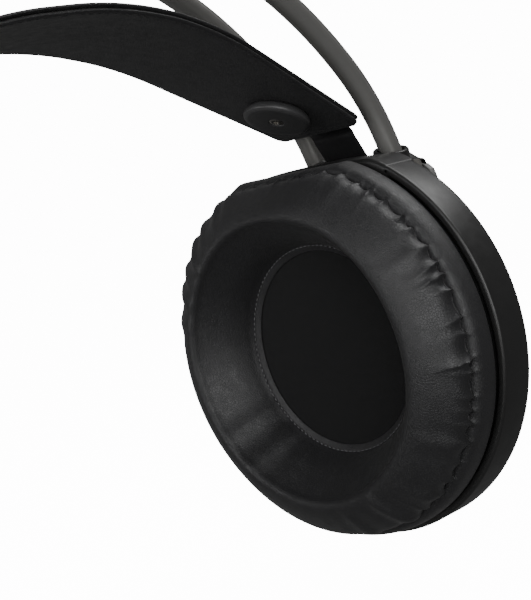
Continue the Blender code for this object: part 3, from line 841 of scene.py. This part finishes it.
# ---------------------------------------------------------------- microphone

def microphone():
    boom_node = frame["nodes"]["mic_boom"]
    boom_node.data.materials.clear()
    boom_node.data.materials.append(MATTE)
    boom_node.data.shade_smooth()
    source = frame["nodes"]["mic_windscreen"]
    bm = bmesh.new()
    bm.from_mesh(source.data)
    bmesh.ops.remove_doubles(bm, verts=bm.verts, dist=0.00005)
    foam = piece("windscreen_skin", bm, FOAM, "mic", ["mic_windscreen"], 180.0)
    smooth = foam.modifiers.new("smooth", "SUBSURF")
    smooth.levels = 3
    smooth.render_levels = 3


def smoothed(node_name, mat, body):
    """A hard piece with its seams welded, small edge bevels and smooth curved walls."""
    bm = bmesh.new()
    bm.from_mesh(frame["nodes"][node_name].data)
    bmesh.ops.remove_doubles(bm, verts=bm.verts, dist=0.00002)
    obj = piece(node_name + "_skin", bm, mat, body, [node_name], 27.0)
    bevel = obj.modifiers.new("bevel", "BEVEL")
    bevel.width = 0.00015
    bevel.segments = 2
    bevel.limit_method = "ANGLE"
    bevel.angle_limit = math.radians(40)


for side_name, side_sign in SIDES.items():
    smoothed(side_name + "_back_shell", SATIN, side_name + "_cup")
    smoothed(side_name + "_outer_cap", SATIN, side_name + "_cup")
    smoothed(side_name + "_accent_plate", GREY, side_name + "_cup")
    ring(side_name, side_sign)
    bridge(side_name, side_sign)
    cushion(side_name, side_sign)
    scrim(side_name, side_sign)
    strip(side_name, side_sign)
    disc(side_name, side_sign)
bow()
strap_layer("strap_under", 0.0, 1.1, 0.0, "strap_lower_layer")
strap_layer("strap_over", 1.25, 2.3, 0.25, "strap_upper_layer")
strap_stitches()
microphone()


# ---------------------------------------------------------------- stage, light and camera

ROOM_LIGHT = 0.14
BACKDROP = 14.0
FLOOR_GLOW = 14.0


def stage():
    bm = bmesh.new()
    bmesh.ops.create_grid(bm, x_segments=1, y_segments=1, size=3.0)
    mesh = bpy.data.meshes.new("floor")
    bm.to_mesh(mesh)
    bm.free()
    floor = bpy.data.objects.new("floor", mesh)
    floor.location = (0, 0, cad_box[0][2] - 0.004)
    pale = bpy.data.materials.new("pale_floor")
    pale.use_nodes = True
    pale.node_tree.nodes["Principled BSDF"].inputs["Base Color"].default_value = (0.93, 0.93, 0.93, 1)
    pale.node_tree.nodes["Principled BSDF"].inputs["Roughness"].default_value = 0.9
    pale.node_tree.nodes["Principled BSDF"].inputs["Emission Color"].default_value = (1, 1, 1, 1)
    pale.node_tree.nodes["Principled BSDF"].inputs["Emission Strength"].default_value = FLOOR_GLOW
    mesh.materials.append(pale)
    bpy.context.scene.collection.objects.link(floor)
    floor.visible_diffuse = False
    floor.visible_glossy = False
    sky = bpy.data.worlds.new("studio")
    sky.use_nodes = True
    tree = sky.node_tree
    back = tree.nodes["Background"]
    rays = tree.nodes.new("ShaderNodeLightPath")
    level = tree.nodes.new("ShaderNodeMapRange")
    level.inputs["To Min"].default_value = ROOM_LIGHT
    level.inputs["To Max"].default_value = BACKDROP
    tree.links.new(rays.outputs["Is Camera Ray"], level.inputs["Value"])
    tree.links.new(level.outputs["Result"], back.inputs["Strength"])
    back.inputs["Color"].default_value = (1, 1, 1, 1)
    bpy.context.scene.world = sky


def lamp(name, location, target, size, power):
    data = bpy.data.lights.new(name, "AREA")
    data.shape = "RECTANGLE"
    data.size, data.size_y = size
    data.energy = power
    obj = bpy.data.objects.new(name, data)
    obj.location = location
    obj.rotation_euler = (Vector(target) - Vector(location)).to_track_quat("-Z", "Y").to_euler()
    bpy.context.scene.collection.objects.link(obj)


def camera():
    """84 mm lens level with the near cup, looking across the middle from behind."""
    data = bpy.data.cameras.new("camera")
    data.lens = 84.0
    data.sensor_width = 36.0
    data.clip_start = 0.01
    obj = bpy.data.objects.new("camera", data)
    obj.location = world(EYE)
    right = Vector(CAMERA_RIGHT)
    up = Vector(CAMERA_UP)
    turn = Matrix((right, up, right.cross(up))).transposed()
    obj.rotation_euler = turn.to_euler()
    bpy.context.scene.collection.objects.link(obj)
    bpy.context.scene.camera = obj


stage()
camera()
NEAR_CUP = (CUP_X * MM, 0.0, -CUP_Z * MM)
lamp("overhead", (0.34, -0.16, 0.36), NEAR_CUP, (0.35, 0.3), 1.6)
lamp("near_panel", (-0.36, -0.52, 0.06), NEAR_CUP, (0.5, 0.5), 3.2)
lamp("left_panel", (-0.5, 0.06, 0.0), NEAR_CUP, (0.5, 0.5), 2.6)
